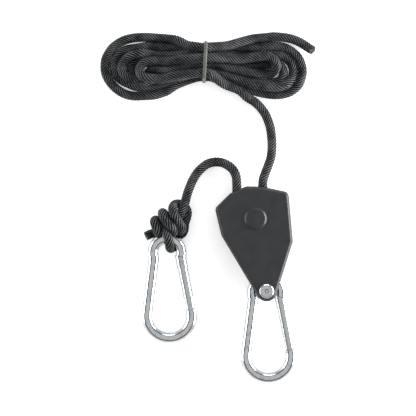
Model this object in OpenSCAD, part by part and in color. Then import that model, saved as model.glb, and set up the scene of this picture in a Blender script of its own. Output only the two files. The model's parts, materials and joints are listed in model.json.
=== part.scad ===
// Rope ratchet hanger, laid flat on a surface: a one-way pulley in a two-plate housing,
// a braided rope that runs round its wheel, and a steel snap hook at each end.
// X is right, Y is up along the housing, Z is out of the surface. Millimetres.

/* [Housing] */
// Thickness over the two plates
housing_t = 14; // [13.5:0.5:15]
// Thickness of each plate
plate_t = 2.5; // [2:0.25:2.75]
// Thickness of the rim wall between the plates
rim_t = 1.8; // [1.5:0.1:2.2]
// Bevel round the outer edge of each plate
plate_bevel = 1.5; // [0.8:0.1:2]
// Radius of the moulded hub over the axle
hub_r = 6; // [5.5:0.25:6.5]
// Height that the hub stands above its plate
hub_h = 1; // [0.8:0.1:1.4]

/* [Wheel] */
// Radius of the wheel over its ratchet teeth
wheel_r = 13.2; // [13:0.1:13.4]
// Depth of the ratchet teeth
tooth_h = 1.5; // [1.2:0.1:1.6]
// Number of ratchet teeth, a multiple of four
tooth_n = 12; // [12]
// Radius of the steel axle
axle_r = 2.5; // [2:0.25:3]

/* [Rope] */
// Diameter of the rope
rope_d = 5; // [4.6:0.1:5.2]
// Radius of the rope's centre line round the wheel
wrap_r = 10; // [9.8:0.1:10.2]

/* [Snap hooks] */
// Diameter of the hook's wire
wire_d = 6; // [5.8:0.1:6]
// Radius of the small end, to the centre of the wire
eye_r = 7.7; // [7.7:0.1:8.2]
// Radius of the large end, to the centre of the wire
bow_r = 12.2; // [12:0.1:12.6]
// Distance between the centres of the two ends
hook_span = 34.5; // [34:0.25:35]
// Radius of the gate's rod
gate_r = 2.75; // [2.6:0.05:2.8]

/* [Hidden] */
$fn = 64;
eps = 0.01;

// Heights: the hubs and rivet heads touch the surface, so the plates sit hub_h above it.
mid_z = hub_h + housing_t / 2;
half_t = housing_t / 2;
cavity_half = half_t - plate_t;

// Places in the plane.
AXLE = [20, 36];
RIVET = [26, -3.1];
PAWL = [22, 14.5];
// Corners of the housing's outline: centre and radius of each rounding.
CORNERS = [
    [1.2, 40.6, 2.8], [9, 45.8, 4.6], [16, 48.4, 5], [23, 48.2, 5], [34.9, 47.6, 3.2],
    [37.7, 24, 2.5], [26, -3.1, 5.6], [5.2, 28.2, 3.8]
];
// The rim stops here, and below it the plates are open for the hook to swing.
rim_low_y = 9;

// Wheel.
groove_r = 7.2;
groove_half = rope_d / 2 + 0.35;
flange_t = 1.3;
bush_r = 4;
running = 0.05;

// Pawl.
pawl_pin_r = 1.4;
pawl_half = 4.1;
tab_half = 3;
spring_x = 32;
ledge_y = 10.4;
ledge_t = 1.6;
tab_low_y = 17.2;

// Rivet.
rivet_r = 2;
rivet_head_r = 3.9;
sleeve_r = 3.1;

// Snap hook, in its own plane: the small end's centre is at its origin, the large end below.
wire_r = wire_d / 2;
kink_a = 194;
kink_r = 4.2;
nose_a = -14;
BOW = [0, -hook_span];
// The neck bends back the other way round this centre, and a straight arm runs to the large end.
NECK = (eye_r + kink_r) * [cos(kink_a), sin(kink_a)];
neck_gap = NECK - BOW;
bow_a = atan2(neck_gap[1], neck_gap[0]) + acos((bow_r + kink_r) / norm(neck_gap));
ARM_TOP = NECK - kink_r * [cos(bow_a), sin(bow_a)];
BOW_LEFT = BOW + bow_r * [cos(bow_a), sin(bow_a)];
BOW_RIGHT = [-BOW_LEFT[0], BOW_LEFT[1]];
arm_len = norm(ARM_TOP - BOW_LEFT);
arm_lean = 180 - bow_a;
ARM_WAY = (BOW_LEFT - ARM_TOP) / arm_len;
GATE_WAY = [-sin(arm_lean), cos(arm_lean)];
// Bends and straights lap by a hair, each a hair thinner than the last, to fuse as one bar.
step = 0.03;
lap = 0.4;
neck_lap = 4;

// Gate, in a frame with its origin at the pivot and Y up the gate.
pivot_up = 4.2;
PIVOT = BOW_RIGHT + pivot_up * GATE_WAY;
stub_len = pivot_up - gate_r - 0.35;
NOSE = eye_r * [cos(nose_a), sin(nose_a)];
nose_y = (NOSE - PIVOT) * GATE_WAY;
gate_pin_r = 1;
tongue_half = 1.05;
fork_half = 1.35;
fork_depth = 4.2;
latch_pin_r = 0.75;
latch_y = nose_y - 2.8;
slot_half = 1.15;
slot_y = nose_y - 5.6;
head_r = 3.1;
head_y = nose_y - 6.4;
nose_gap = 0.45;
spring_bore_r = 1.05;
spring_bore_len = 8.8;

// How the two hooks lie: each slopes down to rest the wire's lowest point on the surface.
hook_turn = 1.9;
LOAD_EYE = [26.05, -4.35, mid_z];
ROPE_EYE = [-27.75, 17.45, 7.6];
load_slope = asin((LOAD_EYE[2] - wire_r) / (hook_span + bow_r));
rope_slope = asin((ROPE_EYE[2] - wire_r) / (hook_span + bow_r));

// Where the rope comes off the wheel towards its long end.
exit_gap = [24, 53] - AXLE;
exit_a = atan2(exit_gap[1], exit_gap[0]) - acos(wrap_r / norm(exit_gap));
LEAVE = AXLE + wrap_r * [cos(exit_a), sin(exit_a)];
EXIT_WAY = ([24, 53] - LEAVE) / norm([24, 53] - LEAVE);
mouth_y = 50.6;

// Routes of the free rope, laid by hand.
SHORT_ROUTE = [
    [10, 50.6, 8], [10, 55, 7.6], [9.6, 59, 6.6], [8.1, 62.3, 5.4], [5.3, 64.8, 4.2],
    [1.8, 66.4, 3.3], [-2, 66.7, 2.8], [-5.8, 65.7, 2.8], [-9.2, 63.2, 3.2],
    [-12, 60, 4], [-14, 56.5, 4.9], [-15.5, 53, 5.8], [-16.8, 49.5, 6.6], [-17.8, 45.5, 7.2]
];
LONG_ROUTE = [
    [24, 53, 8], [24.3, 57, 7.7], [25.6, 61, 6.9], [27.2, 65, 5.9], [28.5, 69, 4.8],
    [29.1, 73, 3.9], [29.2, 77, 3.2], [28.9, 81, 2.8], [28.4, 85, 2.6], [27.2, 89, 2.6],
    [25.4, 93, 2.6], [22.8, 96.5, 2.6], [19.8, 99.8, 2.6]
];
TAIL_ROUTE = [[41, 132.2, 5.6], [46, 130.3, 5.2], [50.4, 127.8, 4.8]];
STUB_ROUTE = [[-32.6, 31.8, 8.4], [-35.4, 29.2, 7.6], [-38.6, 26.6, 6.8]];

// Hank.
hank_h = 15;
tie_t = 1;
tie_w = 2.4;
TIE = [-7.2, 120.8];
waist = 20.7;
HANK_LEFT = [-45, 118.2, 18.6];
HANK_RIGHT = [29.3, 118, 18.3];

black = "#333436";
rope_black = "#26282b";
steel = "#c9cdd1";
zinc = "#d7dade";

// ---- Shared shapes ----------------------------------------------------------------

// Straight rod of the given radius between two points in one plane.
module rod(from, to, r) {
    way = to - from;
    translate([from[0], from[1], 0])
        rotate([0, 0, atan2(way[1], way[0])])
            rotate([0, 90, 0])
                cylinder(r = r, h = norm(way));
}

// Round bar bent to an arc, from angle a0 through sweep degrees.
module bent(r_arc, r_bar, a0, sweep) {
    rotate([0, 0, a0])
        rotate_extrude(angle = sweep)
            translate([r_arc, 0])
                circle(r = r_bar);
}

// Upright cylinder centred on the middle plane.
module across(r, half) {
    translate([0, 0, -half])
        cylinder(r = r, h = 2 * half);
}

// Cross-section of a swept bar at place p, square to direction t.
function ring(p, t, r, sides) =
    let (u = cross([0, 0, 1], t), side = u / norm(u), up = cross(t, side) / norm(t))
    [for (k = [0 : sides - 1]) p + r * (cos(360 * k / sides) * side + sin(360 * k / sides) * up)];

function heading(path, i) =
    path[min(i + 1, len(path) - 1)] - path[max(i - 1, 0)];

function run(lists) = [for (a = lists) for (b = a) b];

// One closed tube along a path.
module tube(path, r, sides) {
    n = len(path);
    points = run([for (i = [0 : n - 1]) ring(path[i], heading(path, i), r, sides)]);
    walls = run([for (i = [0 : n - 2]) for (k = [0 : sides - 1])
        let (a = i * sides + k, b = i * sides + (k + 1) % sides)
        [[a, a + sides, b + sides], [a, b + sides, b]]]);
    ends = [
        [for (k = [0 : sides - 1]) k],
        [for (k = [sides - 1 : -1 : 0]) (n - 1) * sides + k]
    ];
    polyhedron(points = points, faces = concat(walls, ends), convexity = 8);
}

// Coil spring standing on the XZ plane along Y.
module coil(r, wire, length, turns) {
    steps = 9 * turns;
    rise = (length - 2 * wire) / steps;
    tube([for (i = [0 : steps]) [r * cos(40 * i), wire + rise * i, r * sin(40 * i)]], wire, 5);
}

// ---- Housing ----------------------------------------------------------------------

module corner_discs(inset, h) {
    for (c = CORNERS)
        translate([c[0], c[1], 0])
            cylinder(r = c[2] - inset, h = h, $fn = 32);
}

// One half of the housing, from the middle plane (z = 0) out to its plate.
module housing_half() {
    difference() {
        union() {
            difference() {
                hull() {
                    corner_discs(0, half_t - plate_bevel);
                    corner_discs(plate_bevel * 0.8, half_t);
                }
                translate([0, 0, -eps])
                    hull()
                        corner_discs(rim_t, cavity_half + eps);
            }
            translate([AXLE[0], AXLE[1], half_t - eps])
                cylinder(r1 = hub_r, r2 = hub_r - hub_h * 0.9, h = hub_h + eps);
            // Ledge under the pawl's spring.
            translate([spring_x - 2.5, ledge_y - ledge_t, 0])
                cube([5, ledge_t, half_t - plate_t / 2]);
        }
        // Open foot, between the plates.
        translate([-10, rim_low_y - 40, -1])
            cube([70, 40 - ledge_t / 8, cavity_half + 1]);
        // Mouths for the two runs of rope.
        for (x = [AXLE[0] - wrap_r, 24])
            translate([x - 3.4, 44, -1])
                cube([6.8, 14, 1 + rope_d / 2 + 0.7]);
        // Window for the pawl's release tab.
        translate([35, 12.2, -1])
            cube([8, 9.2, 1 + tab_half + 0.6]);
        // Seats for the axle, the pawl's pin and the rivet.
        translate([AXLE[0], AXLE[1], cavity_half - 1])
            cylinder(r = axle_r, h = plate_t + 0.8);
        translate([PAWL[0], PAWL[1], cavity_half - 1])
            cylinder(r = pawl_pin_r, h = 2.4);
        translate([RIVET[0], RIVET[1], -1])
            cylinder(r = rivet_r, h = half_t + 2);
    }
}

module housing_front() {
    color(black)
        translate([0, 0, mid_z])
            housing_half();
}

module housing_rear() {
    color(black)
        translate([0, 0, mid_z])
            mirror([0, 0, 1])
                housing_half();
}

module axle() {
    color(steel)
        translate([AXLE[0], AXLE[1], mid_z])
            across(axle_r, cavity_half + plate_t - 0.2);
}

module rivet() {
    color(zinc)
        translate([RIVET[0], RIVET[1], 0])
            difference() {
                union() {
                    cylinder(r = rivet_r, h = housing_t + hub_h);
                    cylinder(r1 = rivet_r + 0.6, r2 = rivet_r + 1, h = 0.5);
                    translate([0, 0, housing_t + hub_h])
                        cylinder(r = rivet_head_r, h = hub_h * 0.5);
                    translate([0, 0, housing_t + hub_h * 1.5])
                        cylinder(r1 = rivet_head_r, r2 = rivet_head_r - 0.8, h = hub_h * 0.5);
                }
                translate([0, 0, housing_t + hub_h * 1.4])
                    cylinder(r1 = 0.3, r2 = 1.6, h = hub_h * 0.6 + eps);
            }
}

module rivet_washer() {
    color(zinc)
        translate([RIVET[0], RIVET[1], 0.5])
            difference() {
                cylinder(r = rivet_head_r, h = hub_h - 0.5);
                translate([0, 0, -1])
                    cylinder(r = rivet_r, h = 3);
            }
}

module rivet_sleeve() {
    color(steel)
        translate([RIVET[0], RIVET[1], mid_z])
            difference() {
                across(sleeve_r, cavity_half);
                across(rivet_r, cavity_half + 1);
            }
}

// ---- Ratchet ----------------------------------------------------------------------

// Saw teeth that lock when the wheel turns clockwise. One steep face stands at -45
// degrees, just past the pawl's nose.
module ratchet_disc() {
    step = 360 / tooth_n;
    root = wheel_r - tooth_h;
    linear_extrude(height = flange_t)
        rotate([0, 0, -45])
            polygon(run([for (i = [0 : tooth_n - 1])
                [root * [cos(i * step), sin(i * step)], wheel_r * [cos(i * step + 1), sin(i * step + 1)]]]));
}

module sheave() {
    inner = wheel_r - tooth_h - 0.4;
    outer_half = groove_half + flange_t;
    color(black)
        translate([AXLE[0], AXLE[1], mid_z])
            difference() {
                union() {
                    rotate_extrude()
                        polygon([
                            [bush_r - 1, -outer_half], [inner, -outer_half], [inner, -groove_half],
                            [groove_r + 2, -groove_half], [groove_r, -1.5], [groove_r, 1.5],
                            [groove_r + 2, groove_half], [inner, groove_half],
                            [inner, outer_half], [bush_r - 1, outer_half]
                        ]);
                    for (z = [-outer_half, groove_half])
                        translate([0, 0, z])
                            difference() {
                                ratchet_disc();
                                translate([0, 0, -1])
                                    cylinder(r = groove_r + 2, h = flange_t + 2);
                            }
                }
                across(bush_r, outer_half + 1);
            }
}

module bush() {
    color("#b49a62")
        translate([AXLE[0], AXLE[1], mid_z])
            difference() {
                across(bush_r, groove_half + flange_t);
                across(axle_r + running, groove_half + flange_t + 1);
            }
}

// Nose of the pawl: it stands in a tooth's hollow, short of the tooth's steep face.
function on_wheel(r, a) = AXLE + r * [cos(a), sin(a)];

module pawl() {
    color(steel)
        translate([0, 0, mid_z])
            difference() {
                union() {
                    translate([PAWL[0], PAWL[1], 0])
                        across(3, pawl_half);
                    translate([0, 0, -pawl_half])
                        linear_extrude(height = 2 * pawl_half)
                            polygon([
                                on_wheel(wheel_r - 1.05, -46.8), on_wheel(wheel_r - 0.3, -52),
                                [19.8, 16.5], [24.6, 13], on_wheel(wheel_r + 1, -46.2)
                            ]);
                    translate([0, 0, -tab_half])
                        linear_extrude(height = 2 * tab_half)
                            polygon([[24, 16.4], [38.3, tab_low_y], [38.3, 20], [27.4, 22]]);
                }
                translate([PAWL[0], PAWL[1], 0])
                    across(pawl_pin_r + running, pawl_half + 1);
                // Notch that lets the rope pass between the two prongs.
                translate([AXLE[0], AXLE[1], 0])
                    across(wrap_r + rope_d / 2 + 0.5, groove_half);
            }
}

module pawl_pin() {
    color(steel)
        translate([PAWL[0], PAWL[1], mid_z])
            across(pawl_pin_r, cavity_half + 1.3);
}

module pawl_spring() {
    color(steel)
        translate([spring_x, ledge_y + 0.1, mid_z])
            coil(1.7, 0.35, tab_low_y - ledge_y - 0.5, 5);
}

// ---- Snap hooks -------------------------------------------------------------------

// Puts a hook's own plane where that hook lies.
module lay_hook(eye, slope) {
    translate(eye)
        rotate([0, 0, hook_turn])
            rotate([slope, 0, 0])
                children();
}

module at_gate() {
    translate([PIVOT[0], PIVOT[1], 0])
        rotate([0, 0, arm_lean])
            children();
}

// Half-space above the gate's slanted end, parallel to the end of the nose.
module above_nose(gap) {
    translate([NOSE[0], NOSE[1], 0])
        rotate([0, 0, nose_a])
            translate([-12, -gap, -8])
                cube([24, 12, 16]);
}

module hook_body() {
    difference() {
        union() {
            bent(eye_r, wire_r, nose_a, kink_a - nose_a);
            translate([NECK[0], NECK[1], 0])
                bent(kink_r, wire_r - step, bow_a - 180 - neck_lap, kink_a - bow_a + 2 * neck_lap);
            rod(ARM_TOP - lap * ARM_WAY, BOW_LEFT + lap * ARM_WAY, wire_r - 2 * step);
            translate([BOW[0], BOW[1], 0])
                bent(bow_r, wire_r, bow_a, 360 - bow_a + arm_lean);
            rod(BOW_RIGHT - lap * GATE_WAY, BOW_RIGHT + stub_len * GATE_WAY, wire_r - step);
            // Flat tongue that carries the gate.
            at_gate() {
                across(2.4, tongue_half);
                translate([-2.3, -gate_r - 1, -tongue_half])
                    cube([4.6, gate_r + 1.4, 2 * tongue_half]);
            }
            // Latch tongue with its barb, under the nose.
            at_gate()
                translate([0, 0, -slot_half + 0.35])
                    linear_extrude(height = 2 * slot_half - 0.7)
                        polygon([
                            [1.1, nose_y + 1], [1.1, latch_y - 1.1], [-0.6, latch_y - 1.1],
                            [-0.6, latch_y - 1.9], [2.4, latch_y - 1.9], [2.4, nose_y + 1]
                        ]);
        }
        at_gate()
            across(gate_pin_r + running, wire_r + 1);
    }
}

module hook_gate() {
    difference() {
        union() {
            at_gate() {
                rod([0, 0], [0, nose_y + 3], gate_r);
                rod([0, head_y], [0, nose_y + 3], head_r);
                intersection() {
                    across(gate_r, gate_r);
                    rod([0, -gate_r], [0, 0.5], gate_r);
                }
            }
        }
        above_nose(nose_gap);
        at_gate() {
            // Fork round the tongue.
            translate([-4, -4, -fork_half])
                cube([8, 4 + fork_depth, 2 * fork_half]);
            // Slot for the latch tongue, open to the outside.
            translate([-1.3, slot_y, -slot_half])
                cube([8, 12, 2 * slot_half]);
            across(gate_pin_r, wire_r + 1);
            translate([0, latch_y, 0])
                across(latch_pin_r, wire_r + 1);
            rod([0, fork_depth - 1], [0, fork_depth + spring_bore_len], spring_bore_r);
        }
    }
}

module hook_pivot_pin() {
    at_gate()
        across(gate_pin_r, gate_r - 0.1);
}

module hook_latch_pin() {
    at_gate()
        translate([0, latch_y, 0])
            across(latch_pin_r, head_r - 0.3);
}

module hook_spring() {
    at_gate()
        translate([0, fork_depth + 3.2, 0])
            coil(0.7, 0.18, spring_bore_len - 3.3, 6);
}

module hook_plunger() {
    at_gate()
        rod([0, 2.75], [0, fork_depth + 3], spring_bore_r - running);
}

module load_hook() {
    color(zinc)
        lay_hook(LOAD_EYE, load_slope)
            hook_body();
}

module load_hook_gate() {
    color(zinc)
        lay_hook(LOAD_EYE, load_slope)
            hook_gate();
}

module load_hook_pivot_pin() {
    color(steel)
        lay_hook(LOAD_EYE, load_slope)
            hook_pivot_pin();
}

module load_hook_latch_pin() {
    color(steel)
        lay_hook(LOAD_EYE, load_slope)
            hook_latch_pin();
}

module load_hook_spring() {
    color(steel)
        lay_hook(LOAD_EYE, load_slope)
            hook_spring();
}

module load_hook_plunger() {
    color(steel)
        lay_hook(LOAD_EYE, load_slope)
            hook_plunger();
}

module rope_hook() {
    color(zinc)
        lay_hook(ROPE_EYE, rope_slope)
            hook_body();
}

module rope_hook_gate() {
    color(zinc)
        lay_hook(ROPE_EYE, rope_slope)
            hook_gate();
}

module rope_hook_pivot_pin() {
    color(steel)
        lay_hook(ROPE_EYE, rope_slope)
            hook_pivot_pin();
}

module rope_hook_latch_pin() {
    color(steel)
        lay_hook(ROPE_EYE, rope_slope)
            hook_latch_pin();
}

module rope_hook_spring() {
    color(steel)
        lay_hook(ROPE_EYE, rope_slope)
            hook_spring();
}

module rope_hook_plunger() {
    color(steel)
        lay_hook(ROPE_EYE, rope_slope)
            hook_plunger();
}

// ---- Rope -------------------------------------------------------------------------

// The run inside the housing: down, under the wheel and up to the other mouth.
module housed_rope() {
    color(rope_black)
        translate([0, 0, mid_z]) {
            rod([AXLE[0] - wrap_r, AXLE[1] - lap], [AXLE[0] - wrap_r, mouth_y], rope_d / 2 - step);
            translate([AXLE[0], AXLE[1], 0])
                bent(wrap_r, rope_d / 2, 180, 180 + exit_a);
            rod(LEAVE - lap * EXIT_WAY, [24, 53], rope_d / 2 - step);
        }
}

module short_rope() {
    color(rope_black)
        tube(SHORT_ROUTE, rope_d / 2, 8);
}

// The knot's outer shape, a round-ended roll that leans with the knot.
module knot() {
    high = [-19.2, 39.4, 7];
    low = [-28.4, 35.6, 7.6];
    way = low - high;
    color(rope_black)
        union() {
            translate(high)
                sphere(r = 6.3);
            translate(low)
                sphere(r = 6.3);
            translate(high)
                rotate([0, 90 - asin(way[2] / norm(way)), atan2(way[1], way[0])])
                    cylinder(r = 6.3, h = norm(way));
        }
}

// The eye of rope that the small end of the hook hangs in.
module hook_loop() {
    strand_r = 2.1;
    color(rope_black)
        lay_hook(ROPE_EYE, rope_slope)
            rotate([0, 0, 79 - hook_turn])
                translate([eye_r, 0, 0])
                    rotate([90, 0, 0])
                        rotate_extrude()
                            translate([wire_r + 0.3 + strand_r, 0])
                                circle(r = strand_r);
}

module knot_tail() {
    color(rope_black)
        tube(STUB_ROUTE, rope_d / 2, 8);
}

module long_rope() {
    color(rope_black)
        tube(LONG_ROUTE, rope_d / 2, 8);
}

module hank() {
    half = waist / 2 - 0.15;
    bed = tie_w / 2 + 0.2;
    color(rope_black)
        difference() {
            union() {
                for (c = [HANK_LEFT, HANK_RIGHT])
                    translate([c[0], c[1], 0])
                        cylinder(r = c[2], h = hank_h);
                linear_extrude(height = hank_h)
                    polygon([
                        [-40, 135.8], [TIE[0] - 3, TIE[1] + half], [TIE[0] + 3, TIE[1] + half],
                        [24, 135.2], [24, 100.8], [TIE[0] + 3, TIE[1] - half],
                        [TIE[0] - 3, TIE[1] - half], [-40, 100.6]
                    ]);
            }
            // The tie lies in a shallow bed above and below.
            for (z = [-1, hank_h - 0.4])
                translate([TIE[0] - bed, TIE[1] - waist, z])
                    cube([2 * bed, 2 * waist, 2]);
        }
}

module hank_tie() {
    color("#5a5f5c")
        translate([TIE[0] - tie_w / 2, TIE[1] - waist / 2 - tie_t, 0])
            difference() {
                cube([tie_w, waist + 2 * tie_t, hank_h + 0.6]);
                translate([-1, tie_t, tie_t])
                    cube([tie_w + 2, waist, hank_h + 0.6 - 2 * tie_t]);
            }
}

module rope_tail() {
    color(rope_black)
        tube(TAIL_ROUTE, rope_d / 2, 8);
}

// Melted end of the rope.
module rope_tip() {
    color("#141517")
        translate([50.4, 127.8, 4.8])
            rotate([0, 0, -29.6])
                rotate([0, 94, 0])
                    cylinder(r1 = rope_d / 2, r2 = rope_d / 2 - 0.5, h = 1.6);
}

housing_front();
housing_rear();
axle();
sheave();
bush();
pawl();
pawl_pin();
pawl_spring();
rivet();
rivet_sleeve();
rivet_washer();
load_hook();
load_hook_gate();
load_hook_pivot_pin();
load_hook_latch_pin();
load_hook_spring();
load_hook_plunger();
rope_hook();
rope_hook_gate();
rope_hook_pivot_pin();
rope_hook_latch_pin();
rope_hook_spring();
rope_hook_plunger();
housed_rope();
short_rope();
knot();
hook_loop();
knot_tail();
long_rope();
hank();
hank_tie();
rope_tail();
rope_tip();
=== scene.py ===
# %% [markdown]
# # A rope ratchet hanger
# This lesson dresses a rope ratchet hanger: a one-way pulley in a black housing, a braided
# rope with its spare length tied in a hank, and a snap hook at each end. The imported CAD
# model gives every moving part its place. Here each part gets the shape and finish that
# the eye sees, in metres, in the same frame.

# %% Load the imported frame
import json
import math
import bpy
import bmesh
import numpy as np
from mathutils import Matrix, Vector


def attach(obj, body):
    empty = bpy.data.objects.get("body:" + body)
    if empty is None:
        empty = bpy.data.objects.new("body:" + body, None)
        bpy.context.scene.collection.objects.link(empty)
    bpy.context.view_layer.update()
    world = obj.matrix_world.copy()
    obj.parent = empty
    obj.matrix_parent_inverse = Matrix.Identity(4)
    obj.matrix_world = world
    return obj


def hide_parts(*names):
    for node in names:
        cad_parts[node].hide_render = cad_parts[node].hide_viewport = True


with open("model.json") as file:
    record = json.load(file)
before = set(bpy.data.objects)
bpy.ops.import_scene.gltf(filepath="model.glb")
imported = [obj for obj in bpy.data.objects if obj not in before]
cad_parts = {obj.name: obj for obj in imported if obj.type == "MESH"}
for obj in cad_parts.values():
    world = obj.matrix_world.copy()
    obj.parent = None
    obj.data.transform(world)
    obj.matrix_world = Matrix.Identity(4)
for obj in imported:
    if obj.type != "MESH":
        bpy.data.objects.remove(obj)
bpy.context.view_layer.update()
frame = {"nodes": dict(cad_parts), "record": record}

MM = 0.001

# %% [markdown]
# ## The camera
# The hanger lies flat on a white table and is seen from straight above. A long lens from
# more than a metre away keeps the two hooks parallel, as the eye expects.

# %% Look straight down with a long lens
VIEW_WIDTH = 226.7 * MM
CAMERA_HEIGHT = 1.3
lens = bpy.data.cameras.new("camera")
lens.sensor_width = 36
lens.lens = 36 * CAMERA_HEIGHT / VIEW_WIDTH
lens.clip_end = 10
camera = bpy.data.objects.new("camera", lens)
camera.location = (-5.6 * MM, 41.7 * MM, CAMERA_HEIGHT)
bpy.context.collection.objects.link(camera)
bpy.context.scene.camera = camera
print("lens of", round(lens.lens), "mm")

# %% [markdown]
# ## Making rope
# A braided rope is a row of slanting ribs that climb round it. A flat grid is rolled onto
# the rope's line: one side of the grid goes round, the other goes along. Each ring is
# turned a little further than the last, so the mesh's own lines climb with the ribs, and
# four faces across each rib are enough to make it round.

# %% A smooth, evenly spaced line through hand-laid points
def smooth_line(points, spacing):
    """Centripetal Catmull-Rom curve through the points, cut into even steps."""
    p = np.array(points, float)
    p = np.vstack([2 * p[0] - p[1], p, 2 * p[-1] - p[-2]])
    dense = []
    for a, b, c, d in zip(p[:-3], p[1:-2], p[2:-1], p[3:]):
        t1 = np.linalg.norm(b - a) ** 0.5
        t2 = t1 + np.linalg.norm(c - b) ** 0.5
        t3 = t2 + np.linalg.norm(d - c) ** 0.5
        t = np.linspace(t1, t2, 24, endpoint=False)[:, None]
        ab = a + (b - a) * t / t1
        bc = b + (c - b) * (t - t1) / (t2 - t1)
        cd = c + (d - c) * (t - t2) / (t3 - t2)
        abc = ab + (bc - ab) * t / t2
        bcd = bc + (cd - bc) * (t - t1) / (t3 - t1)
        dense.append(abc + (bcd - abc) * (t - t1) / (t2 - t1))
    return even(np.vstack(dense + [p[-2:-1]]), spacing)


def even(line, spacing):
    gone = np.r_[0, np.cumsum(np.linalg.norm(np.diff(line, axis=0), axis=1))]
    marks = np.linspace(0, gone[-1], max(2, int(round(gone[-1] / spacing)) + 1))
    return np.stack([np.interp(marks, gone, line[:, k]) for k in range(3)], 1)


def length_of(line):
    return float(np.linalg.norm(np.diff(line, axis=0), axis=1).sum())


def frames_along(line, closed=False):
    """Directions square to the line that never spin: each is carried on from the last."""
    way = np.gradient(line, axis=0)
    if closed:
        way = np.roll(line, -1, axis=0) - np.roll(line, 1, axis=0)
    way /= np.linalg.norm(way, axis=1)[:, None]
    side = np.cross(way[0], (0, 0, 1.0))
    if np.linalg.norm(side) < 0.1:
        side = np.cross(way[0], (0, 1.0, 0))
    sides = []
    for w in way:
        side = side - w * side.dot(w)
        side = side / np.linalg.norm(side)
        sides.append(side)
    sides = np.array(sides)
    return way, sides, np.cross(way, sides)


# %% Turn a bmesh into a piece in the scene
def piece_from(bm, name, body, smooth=True):
    mesh = bpy.data.meshes.new(name)
    bm.to_mesh(mesh)
    bm.free()
    mesh.polygons.foreach_set("use_smooth", [smooth] * len(mesh.polygons))
    piece = bpy.data.objects.new(name, mesh)
    bpy.context.collection.objects.link(piece)
    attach(piece, body)
    return piece


def recalculate(bm):
    bmesh.ops.recalc_face_normals(bm, faces=bm.faces[:])


# %% Roll a grid into a tube
RIBS = 9


def tube(line, radius_at, sides, lay=None, closed=False):
    """A tube along the line. radius_at(round, along) gives the two half-widths there."""
    way, across, up = frames_along(line, closed)
    count = len(line)
    rows = count if closed else count - 1
    gone = np.r_[0, np.cumsum(np.linalg.norm(np.diff(line, axis=0), axis=1))]
    bm = bmesh.new()
    bm.loops.layers.uv.new("UVMap")
    bmesh.ops.create_grid(bm, x_segments=sides, y_segments=rows, size=0.5, calc_uvs=True)
    for v in bm.verts:
        turn, row = v.co.x + 0.5, int(round((v.co.y + 0.5) * rows)) % count
        angle = 2 * math.pi * (turn + (gone[row] / lay if lay else 0))
        wide, high = radius_at(turn, row)
        v.co = Vector(line[row] + wide * math.cos(angle) * across[row]
                      + high * math.sin(angle) * up[row])
    # The UV map counts ribs round the tube, and millimetres along it.
    uv = bm.loops.layers.uv.active
    reach = gone[-1] / MM
    for face in bm.faces:
        for corner in face.loops:
            u, v = corner[uv].uv
            corner[uv].uv = (u * RIBS, v * reach)
    bmesh.ops.remove_doubles(bm, verts=bm.verts, dist=1e-7)
    if not closed:
        bmesh.ops.holes_fill(bm, edges=[e for e in bm.edges if e.is_boundary], sides=sides)
    recalculate(bm)
    return bm


# %% Rope, with ribs that climb at about 45 degrees
ROPE_D = 5 * MM
LAY = 15 * MM
RIB_DEPTH = 0.55 * MM
# Each crest stands a little past the rope's nominal radius, as a soft braid's does.
CREST = 0.08 * MM
FACES_PER_RIB = 4
RING = 0.9 * MM


def rope_piece(name, line):
    def ribbed(turn, row):
        groove = 1 - abs(math.cos(math.pi * turn * RIBS))
        size = ROPE_D / 2 + CREST - RIB_DEPTH * groove
        return size, size
    piece = piece_from(tube(line, ribbed, FACES_PER_RIB * RIBS, lay=LAY), name, "housing")
    print(name, "is", round(length_of(line) / MM), "mm of rope,",
          len(piece.data.polygons), "faces")
    return piece


# %% [markdown]
# ## The short run of rope
# From the housing's left mouth the rope climbs over in an arch and comes down to the knot
# above its hook. These points are the CAD's own route, so the looks and the solids agree.

# %% Short run
SHORT_ROUTE = [
    (10, 50.6, 8), (10, 55, 7.6), (9.6, 59, 6.6), (8.1, 62.3, 5.4), (5.3, 64.8, 4.2),
    (1.8, 66.4, 3.3), (-2, 66.7, 2.8), (-5.8, 65.7, 2.8), (-9.2, 63.2, 3.2),
    (-12, 60, 4), (-14, 56.5, 4.9), (-15.5, 53, 5.8), (-16.8, 49.5, 6.6), (-17.8, 45.5, 7.2),
]
short_line = smooth_line(np.array(SHORT_ROUTE) * MM, RING)
short_run = rope_piece("short_run", short_line)

# %% [markdown]
# ## The hank
# The spare rope is folded back and forth and tied round its waist. Laying out a hank by
# hand never looks right, because rope settles: turns push each other aside and sink until
# they touch. So the folds are first laid roughly, strand by strand, and a small relaxation
# then treats the line as a chain of beads. Each bead keeps its distance to its neighbours,
# resists bending, sinks, and is pushed out of any other turn that it lies in.

# %% Lay the folds roughly, in millimetres
TIE = np.array([-7.2, 120.8])


def waist(offset, height, rightwards):
    """Two points that carry a strand through the tie."""
    ends = [(TIE[0] + dx, TIE[1] + offset, height) for dx in (-3, 3)]
    return ends if rightwards else ends[::-1]


def fold(end_x, top, bottom, height, downwards, depth, top_height=None):
    """A turn at one end of the hank, from its top strand to its bottom one or back."""
    side = -1 if end_x < TIE[0] else 1
    centre, half = (top + bottom) / 2, (top - bottom) / 2
    heights = np.interp(range(7), (0, 3, 6), (top_height or height, height, height))
    turn = [(end_x - side * depth * (1 - math.cos(math.radians(a))),
             centre + half * math.sin(math.radians(a)), h)
            for a, h in zip((90, 62, 32, 0, -32, -62, -90), heights)]
    return turn if downwards else turn[::-1]


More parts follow.
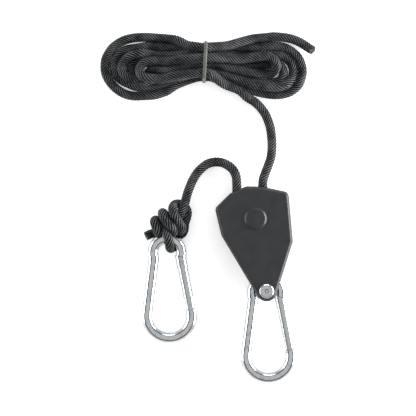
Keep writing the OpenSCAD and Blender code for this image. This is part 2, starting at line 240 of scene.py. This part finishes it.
LONG_ROUTE = [
    (24, 53, 8), (24.3, 57, 7.7), (25.6, 61, 6.9), (27.2, 65, 5.9), (28.5, 69, 4.8),
    (29.1, 73, 3.9), (29.2, 77, 3.2), (28.9, 81, 2.8), (28.4, 85, 2.6), (27.2, 89, 2.6),
    (25.4, 93, 2.6), (22.8, 96.5, 2.6),
]
from_tail = (
    [(50.4, 127.8, 4.8), (47, 130.4, 5.4), (43.5, 132.4, 6.2), (40.2, 133.7, 6.8),
     (37, 134.4, 7.2), (30.4, 134.2, 8), (23.9, 133, 8.4), (17.3, 131.7, 9),
     (10.8, 130.7, 10), (4.3, 129.2, 11.4)]
    + waist(6.6, 12.2, False) + [(-18.6, 129.8, 9.8), (-25, 132, 7.4), (-33, 133.9, 4.6)]
    + fold(-61, 134.4, 102.4, 2.6, True, 16.5, 3) + [(-31.7, 107.3, 2.8), (-25, 110, 2.8)]
    + waist(-7.4, 3.5, True) + [(4, 110.8, 2.8), (13, 107.2, 2.8)]
    + fold(45.4, 128.6, 103.1, 2.6, False, 14) + [(20, 128.2, 2.8), (8, 126.9, 3)]
    + waist(6.6, 3.5, False) + [(-18, 127.2, 3), (-28, 128.4, 2.8)]
    + fold(-57.4, 128.4, 109.8, 2.6, True, 12) + [(-25, 112.9, 5.5)]
    + waist(-5, 7.9, True) + [(12, 110.8, 7.6)]
    + fold(41.4, 125.6, 107.6, 7.4, False, 11) + [(12, 125.2, 7.6)]
    + waist(4.4, 7.9, False) + [(-25, 123.8, 7.4)]
    + fold(-53.6, 123.8, 110.8, 7.2, True, 10) + [(-25, 114.8, 4)]
    + waist(-2.5, 3.5, True) + [(10, 113, 2.8)]
    + fold(36.6, 119, 110.6, 2.6, False, 9) + [(20, 119.2, 2.8), (10, 120.4, 2.8)]
    + waist(2, 3.5, False) + [(-25, 121.4, 2.8)]
    + fold(-48.8, 120.2, 112.4, 3.4, True, 9, 2.6) + [(-20, 117, 7.4)]
    + waist(-0.4, 7.9, True) + [(9, 116.8, 9.5)]
    + fold(32.3, 124, 113.8, 11, False, 8) + [(10, 122.4, 12)]
    + waist(1.4, 12.2, False) + [(-22, 121, 12)]
    + fold(-43.4, 121.2, 111.6, 11.8, True, 7.5) + [(-24, 113, 11.8), (-15, 113.9, 12)]
    + waist(-5.6, 12.2, True)
    + [(-2.3, 112.8, 11.8), (4.3, 110, 10.2), (9, 107.6, 8.4), (13.4, 105, 6.4),
       (17.4, 101.8, 4.4), (20.4, 98.9, 2.8), (22.8, 96.5, 2.6)]
)
print("the hank is laid with", len(from_tail), "points")


# %% Let the turns settle
def settle(p, steps, thick, low, high, sink=0.04, tied=None, bend=5.0):
    """Relax a line of beads, in millimetres. Both of its ends stay put."""
    home, rest = p.copy(), np.linalg.norm(np.diff(p, axis=0), axis=1)
    # Far along the line, beads keep a rope's thickness apart. Close along it, they keep
    # the distance that they have on the tightest bend allowed.
    i, j = np.triu_indices(len(p), 2)
    arc = (j - i) * rest.mean()
    near = arc < math.pi * bend
    chord = 2 * bend * np.sin(np.minimum(arc, math.pi * bend) / (2 * bend))
    least = np.where(near, chord, thick)
    for step in range(steps):
        late = step > 0.7 * steps
        was = p.copy()
        smoother = (-was[:-4] + 4 * was[1:-3] + 4 * was[3:-1] - was[4:]) / 6
        p[2:-2] += (0.2 if late else 0.3) * (smoother - was[2:-2])
        p[1:-1] += (0.01 if late else 0.03) * (0.5 * (was[:-2] + was[2:]) - was[1:-1])
        p[:, :2] += 0.05 * (home[:, :2] - p[:, :2])
        p[:, 2] -= sink
        for again in range(2):
            gap = p[j] - p[i]
            far = np.sqrt((gap * gap).sum(1))
            hit = far < least
            a, b = i[hit], j[hit]
            push = 0.5 * ((least[hit] - far[hit]) / np.maximum(far[hit], 1e-6))[:, None] * gap[hit]
            moved, times = np.zeros_like(p), np.zeros(len(p))
            np.add.at(moved, a, -push)
            np.add.at(moved, b, push)
            np.add.at(times, a, 1)
            np.add.at(times, b, 1)
            p += moved / np.maximum(times, 1)[:, None] * 1.4
            for s in (0, 1):
                left, right = p[s:-1:2], p[s + 1::2]
                link = right - left
                span = np.sqrt((link * link).sum(1))
                pull = ((span - rest[s::2]) / span)[:, None] * link * 0.5
                left += pull
                right -= pull
            p[:, 2] = np.clip(p[:, 2], low, high)
            if tied:
                held = abs(p[:, 0] - TIE[0]) < 2.4
                p[held, 2] = np.clip(p[held, 2], low + 1, 12.4)
                p[held, 1] = np.clip(p[held, 1], TIE[1] - tied, TIE[1] + tied)
        p[:1], p[-2:] = was[:1], was[-2:]
    return p


def tightest(line):
    """Radius of the circle through every third point, at its smallest."""
    a, b, c = line[:-6], line[3:-3], line[6:]
    ab, bc, ca = (np.linalg.norm(q - r, axis=1) for q, r in ((a, b), (b, c), (c, a)))
    area = 0.5 * np.linalg.norm(np.cross(b - a, c - a), axis=1)
    radius = ab * bc * ca / np.maximum(4 * area, 1e-12)
    return radius.min(), line[3:-3][radius.argmin()]


hank_mm = settle(smooth_line(from_tail, 2.5), steps=500, thick=5.05, low=2.65, high=12.9,
                 tied=7.8)
long_mm = np.vstack([np.array(LONG_ROUTE[:-1]), hank_mm[::-1]])
long_line = smooth_line(long_mm * MM, RING)
long_run = rope_piece("long_run", long_line)
print("the hank holds", round(length_of(hank_mm)), "mm of rope; tightest bend, in metres",
      tightest(long_line))

# %% [markdown]
# ## The rope inside the housing
# The rope goes down into the left mouth, under the wheel and up out of the right one. Only
# a little of it shows, at the mouths and from below.

# %% Rope round the wheel
AXLE = np.array([20, 36])
WRAP_R = 10
under = [(AXLE[0] + WRAP_R * math.cos(math.radians(a)),
          AXLE[1] + WRAP_R * math.sin(math.radians(a)), 8) for a in range(180, 371, 15)]
housed = ([(10, 50.6, 8), (10, 46, 8), (10, 41, 8)] + under
          + [(27.8, 43.5, 8), (24.9, 50, 8), (24, 53, 8)])
inner_run = rope_piece("inner_run", smooth_line(np.array(housed) * MM, RING))
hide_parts("housed_rope")

# %% [markdown]
# ## The knot
# The short run ends in a barrel of a knot: the rope goes down through the middle, round
# the small end of the hook, back up, and then wraps round itself before its cut end comes
# out at the side. It is one more rope line, drawn and then settled, so that the
# wraps press on each other as real ones do.

# %% Tie the knot
KNOT_ROUTE = [
    (-17.8, 45.5, 7.2), (-18.7, 42.0, 7.8), (-20.4, 38.4, 8.0), (-23.4, 34.4, 8.6),
    (-26.0, 31.4, 10.2), (-26.4, 28.4, 12.4), (-26.4, 25.0, 13.6), (-26.5, 21.9, 12.0),
    (-26.2, 20.0, 8.6), (-24.9, 20.0, 5.2), (-23.5, 21.8, 3.1), (-22.9, 24.6, 2.7),
    (-22.3, 28.0, 3.6), (-20.4, 31.0, 5.2), (-18.6, 33.6, 6.6), (-17.0, 37.2, 6.6),
    (-17.2, 40.6, 4.8), (-19.2, 43.0, 3.0), (-22.6, 43.8, 5.0), (-24.6, 42.0, 9.0),
    (-24.0, 38.4, 12.4), (-22.4, 34.4, 13.0), (-20.7, 30.6, 10.0), (-21.0, 29.2, 6.0),
    (-24.4, 32.0, 3.0), (-28.4, 37.2, 3.4), (-30.4, 39.4, 7.0), (-29.9, 37.6, 11.0),
    (-28.4, 34.2, 12.9), (-26.0, 30.6, 11.4), (-25.2, 29.4, 7.2), (-28.2, 31.4, 3.4),
    (-32.4, 34.6, 4.4), (-34.4, 35.0, 8.0), (-33.9, 32.2, 11.4), (-32.4, 29.2, 11.2),
    (-32.6, 28.2, 7.0), (-35.0, 28.2, 5.0), (-38.4, 26.8, 5.6),
]
knot_mm = settle(smooth_line(KNOT_ROUTE, 1.7), steps=40, thick=4.5, low=2.7, high=13.4,
                 sink=0, bend=3.5)
knot_line = smooth_line(knot_mm * MM, RING)
rope_knot = rope_piece("rope_knot", knot_line)
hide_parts("knot", "hook_loop", "knot_tail")

# %% [markdown]
# ## Cut ends
# A braided rope that is cut and singed ends in a hard, dark, slightly swollen rim with a
# few fibres standing out of it. Each end is a short turned plug with bristles on it.

# %% Singed ends with loose fibres
def cut_end(name, line, seed):
    """A singed end for a line that stops at its last point."""
    tip, way = Vector(line[-1]), Vector(line[-1] - line[-4]).normalized()
    turn = way.to_track_quat("Z", "Y").to_matrix().to_4x4()
    place = Matrix.Translation(tip) @ turn
    rng = np.random.default_rng(seed)
    bm = bmesh.new()
    bmesh.ops.create_circle(bm, cap_ends=True, radius=2.45 * MM, segments=28)
    rim = bmesh.ops.extrude_face_region(bm, geom=bm.faces[:])
    top = [v for v in rim["geom"] if isinstance(v, bmesh.types.BMVert)]
    for v in top:
        v.co.z += (0.85 + 0.35 * rng.random()) * MM
        v.co.xy *= 0.86 + 0.1 * rng.random()
    cap = [f for f in rim["geom"] if isinstance(f, bmesh.types.BMFace)]
    bmesh.ops.inset_region(bm, faces=cap, thickness=0.7 * MM, depth=-0.25 * MM)
    bmesh.ops.poke(bm, faces=cap)
    for v in bm.verts:
        v.co.z += 0.12 * MM * rng.standard_normal()
    for fibre in range(46):
        lean, round_ = rng.uniform(0.1, 0.9), rng.uniform(0, 2 * math.pi)
        high, out = rng.uniform(0.7, 1.5) * MM, rng.uniform(0.9, 2.3) * MM
        cone = bmesh.ops.create_cone(bm, cap_ends=True, segments=4, radius1=0.09 * MM,
                                     radius2=0.03 * MM, depth=high)
        bmesh.ops.translate(bm, verts=cone["verts"], vec=(0, 0, high / 2 + 0.3 * MM))
        bmesh.ops.rotate(bm, verts=cone["verts"], matrix=Matrix.Rotation(lean, 3, "Y"))
        bmesh.ops.translate(bm, verts=cone["verts"], vec=(out, 0, 0))
        bmesh.ops.rotate(bm, verts=cone["verts"], matrix=Matrix.Rotation(round_, 3, "Z"))
    bmesh.ops.transform(bm, matrix=place, verts=bm.verts)
    recalculate(bm)
    piece = piece_from(bm, name, "housing", smooth=False)
    return piece


tail_end = cut_end("tail_end", long_line, 3)
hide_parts("rope_tip")
stub_end = cut_end("stub_end", knot_line, 5)

# %% [markdown]
# ## The tie
# A flat plastic-coated twist tie holds the hank's waist. A taut band touches only the
# outermost strands, so its line is the support outline of the strands' sections: for each
# direction it passes just outside the strand that reaches furthest that way.

# %% Pull a band taut round the waist
crossing = [a + (b - a) * (TIE[0] - a[0]) / (b[0] - a[0])
            for a, b in zip(hank_mm[:-1], hank_mm[1:]) if (a[0] - TIE[0]) * (b[0] - TIE[0]) < 0]
strands = np.array([(c[1], c[2]) for c in crossing])
# Half a rope and half a band, in millimetres; the band leans a little and clears the table.
BAND_OFFSET, BAND_LEAN, BAND_LOW = 2.95, 0.05, 0.45
BAND_HALF = (0.92 * MM, 0.42 * MM)
band = []
for a in np.radians(np.arange(0, 360, 6)):
    out = np.array([math.cos(a), math.sin(a)])
    furthest = strands[(strands @ out).argmax()] + out * BAND_OFFSET
    lean = BAND_LEAN * (furthest[0] - TIE[1])
    band.append((TIE[0] + lean, furthest[0], max(furthest[1], BAND_LOW)))
band = np.array(band + band[:1]) * MM
band_line = even(band, 0.5 * MM)[:-1]
tie_band = piece_from(tube(band_line, lambda turn, row: BAND_HALF, 16, closed=True),
                      "tie_band", "housing")
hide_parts("hank_tie")
print(len(strands), "strands pass through the tie")

for run, node_names in ((short_run, ["short_rope"]),
                        (long_run, ["long_rope", "hank", "rope_tail"])):
    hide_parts(*node_names)
print("cords declared:", short_run.name, long_run.name)

# %% [markdown]
# ## The moulded housing
# The housing is two moulded shells. The CAD solids have their exact outline, but every
# edge there is perfectly sharp, and no moulding is. A copy of each shell has its loose
# triangles merged and its flat faces joined, and then a small bevel rounds each edge.

# %% Round the edges of a copied part
def rounded_copy(node, body, width, angle=28, segments=3, rim=None):
    bm = bmesh.new()
    bm.from_mesh(frame["nodes"][node].data)
    bmesh.ops.remove_doubles(bm, verts=bm.verts, dist=2e-6)
    bmesh.ops.dissolve_limit(bm, angle_limit=math.radians(0.6), verts=bm.verts, edges=bm.edges)
    if rim:
        level, rim_width = rim
        outline = [e for e in bm.edges if len(e.link_faces) == 2 and e.is_convex
                   and all(abs(v.co.z - level) < 1e-5 for v in e.verts)
                   and e.calc_face_angle(0) > math.radians(angle)]
        bmesh.ops.bevel(bm, geom=outline, offset=rim_width, offset_type="OFFSET", affect="EDGES",
                        segments=6, profile=0.5, material=-1, clamp_overlap=True)
        print(node, "has", len(outline), "rim edges")
    sharp = [e for e in bm.edges if len(e.link_faces) == 2
             and e.calc_face_angle(0) > math.radians(angle)]
    bmesh.ops.bevel(bm, geom=sharp, offset=width, offset_type="OFFSET", affect="EDGES",
                    segments=segments, profile=0.5, material=-1, clamp_overlap=True)
    faces = len(bm.faces)
    piece = piece_from(bm, node + "_finished", body)
    piece.data.set_sharp_from_angle(angle=math.radians(angle))
    even_light = piece.modifiers.new("even light", "WEIGHTED_NORMAL")
    even_light.keep_sharp = True
    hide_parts(node)
    print(node, "has", len(sharp), "rounded edges and", faces, "faces")
    return piece


shells = [rounded_copy(node, "housing", 0.5 * MM, segments=4,
                       rim=(level * MM, 1.5 * MM))
          for node, level in (("housing_front", 15), ("housing_rear", 1))]
rivet_head = rounded_copy("rivet", "housing", 0.45 * MM, segments=4)

# %% [markdown]
# ## Finishes
# A material starts from what the real thing is. One function turns sRGB hex colours to
# linear light, one starts a material, and one adds a node with its settings and links.
# Scales are worked out from real sizes: Object coordinates are in metres, so a pattern
# with grains s millimetres wide has a scale of about 1000 / s.

# %% Helpers for finishes
def linear(code):
    parts = [int(code[i:i + 2], 16) / 255 for i in (1, 3, 5)]
    return tuple(c / 12.92 if c <= 0.04045 else ((c + 0.055) / 1.055) ** 2.4 for c in parts) + (1,)


def finish_named(name, **sockets):
    material = bpy.data.materials.new(name)
    material.use_nodes = True
    shader = material.node_tree.nodes["Principled BSDF"]
    for key, value in sockets.items():
        shader.inputs[key.replace("_", " ")].default_value = value
    return material, shader


def add(material, kind, links=None, settings=None, **values):
    """Add a node; values set its sockets, links join (node, output) to its sockets."""
    node = material.node_tree.nodes.new(kind)
    for key, value in (settings or {}).items():
        setattr(node, key, value)
    for key, value in values.items():
        node.inputs[key.replace("_", " ")].default_value = value
    for key, (source, out) in (links or {}).items():
        material.node_tree.links.new(source.outputs[out], node.inputs[key])
    return node


def join(material, source, out, target, socket):
    material.node_tree.links.new(source.outputs[out], target.inputs[socket])


def ramp(material, source, out, stops):
    node = add(material, "ShaderNodeValToRGB", {"Fac": (source, out)})
    points = node.color_ramp.elements
    for point, (place, code) in zip((points[0], points[1]), (stops[0], stops[-1])):
        point.position, point.color = place, linear(code)
    for place, code in stops[1:-1]:
        points.new(place).color = linear(code)
    return node


# %% [markdown]
# ### Moulded nylon
# Glass-filled nylon comes out of the mould with a satin, very slightly mottled skin: the
# glass makes it a little paler in patches some millimetres wide, and a fine spark-eroded
# grain of about 0.25 mm breaks up its highlights. Two ejector pins each left a faint ring
# in the front plate, drawn as a small dip at that distance from the pin's place.

# %% Satin black nylon
def nylon(name, dark, pale, roughness, marks=()):
    material, shader = finish_named(name, Roughness=roughness, IOR=1.53, Specular_IOR_Level=0.4)
    place = add(material, "ShaderNodeTexCoord")
    patches = add(material, "ShaderNodeTexNoise", {"Vector": (place, "Object")},
                  Scale=1000 / 7, Detail=4.0, Roughness=0.6)
    tint = ramp(material, patches, "Fac", [(0.3, dark), (0.72, pale)])
    join(material, tint, "Color", shader, "Base Color")
    grain = add(material, "ShaderNodeTexNoise", {"Vector": (place, "Object")},
                Scale=1000 / 0.25, Detail=2.0)
    swirl = add(material, "ShaderNodeTexNoise", {"Vector": (place, "Object")},
                Scale=1000 / 3, Detail=2.0)
    height = add(material, "ShaderNodeMath", {0: (grain, "Fac"), 1: (swirl, "Fac")},
                 {"operation": "ADD"})
    for x, y in marks:
        reach = add(material, "ShaderNodeVectorMath", {0: (place, "Object")},
                    {"operation": "DISTANCE"})
        reach.inputs[1].default_value = (x * MM, y * MM, 15 * MM)
        ring = add(material, "ShaderNodeMath", {0: (reach, "Value")}, {"operation": "COMPARE"})
        ring.inputs[1].default_value, ring.inputs[2].default_value = 2.1 * MM, 0.22 * MM
        height = add(material, "ShaderNodeMath", {0: (height, 0), 1: (ring, 0)},
                     {"operation": "SUBTRACT"})
    bump = add(material, "ShaderNodeBump", {"Height": (height, 0)}, Strength=0.22,
               Distance=0.05 * MM)
    join(material, bump, "Normal", shader, "Normal")
    shine = add(material, "ShaderNodeMapRange", {"Value": (patches, "Fac")})
    shine.inputs["To Min"].default_value = roughness - 0.05
    shine.inputs["To Max"].default_value = roughness + 0.08
    join(material, shine, "Result", shader, "Roughness")
    return material


housing_black = nylon("satin moulded nylon", "#1b1c1e", "#252628", 0.38,
                      marks=((10.7, 23.3), (18, 13.1)))
wheel_black = nylon("slick moulded nylon", "#1d1e20", "#242528", 0.36)

# %% [markdown]
# ### Bright zinc plate
# Zinc-plated wire is a bright, slightly blotchy metal. Its clear passivate leaves faint
# blue and straw tints a few millimetres wide, and drawing the wire leaves fine scratches.

# %% Zinc and steel
def metal(name, colours, roughness, blotch, scratch):
    material, shader = finish_named(name, Metallic=1.0, Roughness=roughness)
    place = add(material, "ShaderNodeTexCoord")
    cloud = add(material, "ShaderNodeTexNoise", {"Vector": (place, "Object")},
                Scale=1000 / blotch, Detail=5.0, Roughness=0.65)
    tint = ramp(material, cloud, "Fac", colours)
    join(material, tint, "Color", shader, "Base Color")
    dull = add(material, "ShaderNodeMapRange", {"Value": (cloud, "Fac")})
    dull.inputs["To Min"].default_value = roughness - 0.07
    dull.inputs["To Max"].default_value = roughness + 0.12
    join(material, dull, "Result", shader, "Roughness")
    fine = add(material, "ShaderNodeTexNoise", {"Vector": (place, "Object")},
               Scale=1000 / scratch, Detail=3.0)
    bump = add(material, "ShaderNodeBump", {"Height": (fine, "Fac")}, Strength=0.18,
               Distance=0.03 * MM)
    join(material, bump, "Normal", shader, "Normal")
    return material


zinc = metal("bright zinc plate", [(0.34, "#a3b1bb"), (0.5, "#c8cccf"), (0.66, "#c4b9af")], 0.13, 4, 0.5)
steel = metal("plain steel", [(0.3, "#a9acb0"), (0.7, "#c4c6c8")], 0.3, 2, 0.3)
gate_zinc = metal("gate zinc plate", [(0.3, "#99a3aa"), (0.5, "#c2c6c8"), (0.7, "#b3aca4")],
                  0.24, 1.6, 0.4)
bronze = metal("sintered bronze", [(0.3, "#8f6f3c"), (0.7, "#b08d52")], 0.42, 0.8, 0.15)

# %% [markdown]
# ### Black braided rope
# The rope is black polypropylene: each rib is a bundle of shiny filaments. The UV map counts
# ribs round the rope and millimetres along it, so the filaments can be drawn along the ribs.
# The real ribs are about 1.05 mm apart; nine to a turn makes them 1.16 mm, so that they show.

# %% Rope, melted rope and tie
def braid(name):
    material, shader = finish_named(name, Roughness=0.45, IOR=1.49, Specular_IOR_Level=0.22)
    place = add(material, "ShaderNodeTexCoord")
    across = add(material, "ShaderNodeSeparateXYZ", {"Vector": (place, "UV")})
    # 0 on the crest of a rib, 0.5 in the groove between two ribs.
    rib = add(material, "ShaderNodeMath", {0: (across, "X")}, {"operation": "PINGPONG"})
    rib.inputs[1].default_value = 0.5
    # Filaments run along each rib and cross it at a slant.
    lines = add(material, "ShaderNodeMapping", {"Vector": (place, "UV")})
    lines.inputs["Scale"].default_value = (6, 0.8, 1)
    lines.inputs["Rotation"].default_value = (0, 0, math.radians(14))
    filaments = add(material, "ShaderNodeTexNoise", {"Vector": (lines, "Vector")},
                    Scale=1.0, Detail=3.0, Roughness=0.6)
    worn = add(material, "ShaderNodeTexNoise", {"Vector": (place, "Object")},
               Scale=1000 / 6, Detail=2.0)
    filaments_and_painted_rib_shade = add(material, "ShaderNodeMath",
                {0: (filaments, "Fac"), 1: (worn, "Fac"), 2: (rib, 0)},
                {"operation": "MULTIPLY_ADD"})
    # The rib term paints each crest light grey as a painted highlight and each groove near black as
    # painted shade, over the filaments' own tone.
    tint = ramp(material, filaments_and_painted_rib_shade, 0, [(0.34, "#5b5e61"), (0.45, "#18191b"), (0.6, "#020202")])
    join(material, tint, "Color", shader, "Base Color")
    # Crests are polished by handling; the grooves stay rough.
    shine = add(material, "ShaderNodeMapRange", {"Value": (rib, 0)})
    shine.inputs["From Max"].default_value = 0.5
    shine.inputs["To Min"].default_value = 0.36
    shine.inputs["To Max"].default_value = 0.95
    join(material, shine, "Result", shader, "Roughness")
    bump = add(material, "ShaderNodeBump", {"Height": (filaments, "Fac")}, Strength=0.5,
               Distance=0.15 * MM)
    join(material, bump, "Normal", shader, "Normal")
    return material


rope_black = braid("black braided polypropylene")
melt = nylon("melted polypropylene", "#0b0b0c", "#17181a", 0.3)
tie_grey = nylon("grey-green coated tie", "#4a504a", "#5d635c", 0.4)

# %% Give every part its finish
def paint(piece, material):
    piece.data.materials.clear()
    piece.data.materials.append(material)


by_slot = {"housing_nylon": housing_black, "wheel_nylon": wheel_black, "bronze": bronze,
           "steel": steel, "zinc": zinc, "rope": rope_black, "rope_melt": melt, "tie": tie_grey}
slot_of = {part["node"]: part["material_slot"] for part in frame["record"]["subparts"]}
for node, part in frame["nodes"].items():
    paint(part, by_slot[slot_of[node]])
for hook in ("load_hook", "rope_hook"):
    paint(frame["nodes"][hook + "_gate"], gate_zinc)
for piece in shells:
    paint(piece, housing_black)
paint(rivet_head, zinc)
for piece in (short_run, long_run, inner_run, rope_knot):
    paint(piece, rope_black)
for piece in (tail_end, stub_end):
    paint(piece, melt)
paint(tie_band, tie_grey)
print("finishes:", sorted({material.name for material in by_slot.values()}))

# %% [markdown]
# ## Table and light
# The table is lit opal acrylic, matt and white, which leaves almost no shadow. Low, wide
# softboxes at the right and left catch the housing's rounded rim, and a third stands behind.
# The room's bands of light and dark draw the grey stripe along the middle of each steel bar.

# %% Table
bm = bmesh.new()
bmesh.ops.create_grid(bm, x_segments=1, y_segments=1, size=1.5)
bmesh.ops.translate(bm, verts=bm.verts, vec=(0, 0, -0.05 * MM))
table_mesh = bpy.data.meshes.new("table")
bm.to_mesh(table_mesh)
bm.free()
table = bpy.data.objects.new("table", table_mesh)
bpy.context.collection.objects.link(table)
paper, paper_shader = finish_named("lit opal acrylic", Roughness=0.9, Emission_Strength=0.52)
paper_shader.inputs["Emission Color"].default_value = (1, 1, 1, 1)
paper_shader.inputs["Base Color"].default_value = linear("#f4f4f4")
paint(table, paper)
print("table of", paper.name)

# %% Lights
def softbox(name, place, size, power, aim=(0, 0.045, 0)):
    light = bpy.data.lights.new(name, "AREA")
    light.shape, light.size, light.size_y, light.energy = "RECTANGLE", size[0], size[1], power
    box = bpy.data.objects.new(name, light)
    box.location = place
    box.rotation_euler = (Vector(aim) - Vector(place)).to_track_quat("-Z", "Y").to_euler()
    bpy.context.collection.objects.link(box)


softbox("right softbox", (1.2, 0.1, 0.27), (1.4, 0.45), 45)
softbox("left softbox", (-1.2, 0.1, 0.27), (1.2, 0.4), 11)
softbox("far softbox", (0, 1.2, 0.6), (1.0, 0.5), 5)
print("three softboxes stand round the table")
world = bpy.data.worlds.new("studio")
world.use_nodes = True
sky = world.node_tree
backdrop = sky.nodes["Background"]
direction = sky.nodes.new("ShaderNodeTexCoord")
height_of = sky.nodes.new("ShaderNodeSeparateXYZ")
dome = sky.nodes.new("ShaderNodeValToRGB")
sky.links.new(direction.outputs["Generated"], height_of.inputs["Vector"])
sky.links.new(height_of.outputs["Z"], dome.inputs["Fac"])
sky.links.new(dome.outputs["Color"], backdrop.inputs["Color"])
# Bright walls, a dark cornice, a lighter ceiling and a grey patch overhead.
bands = ((0.1, 0.9), (0.4, 0.75), (0.54, 0.12), (0.72, 0.1), (0.84, 0.95), (1.0, 0.74))
for place, grey in bands[1:-1]:
    dome.color_ramp.elements.new(place).color = (grey, grey, grey, 1)
for stop, (place, grey) in zip((0, -1), (bands[0], bands[-1])):
    dome.color_ramp.elements[stop].position = place
    dome.color_ramp.elements[stop].color = (grey, grey, grey, 1)
bpy.context.scene.world = world
bpy.context.scene.view_settings.view_transform = "Standard"
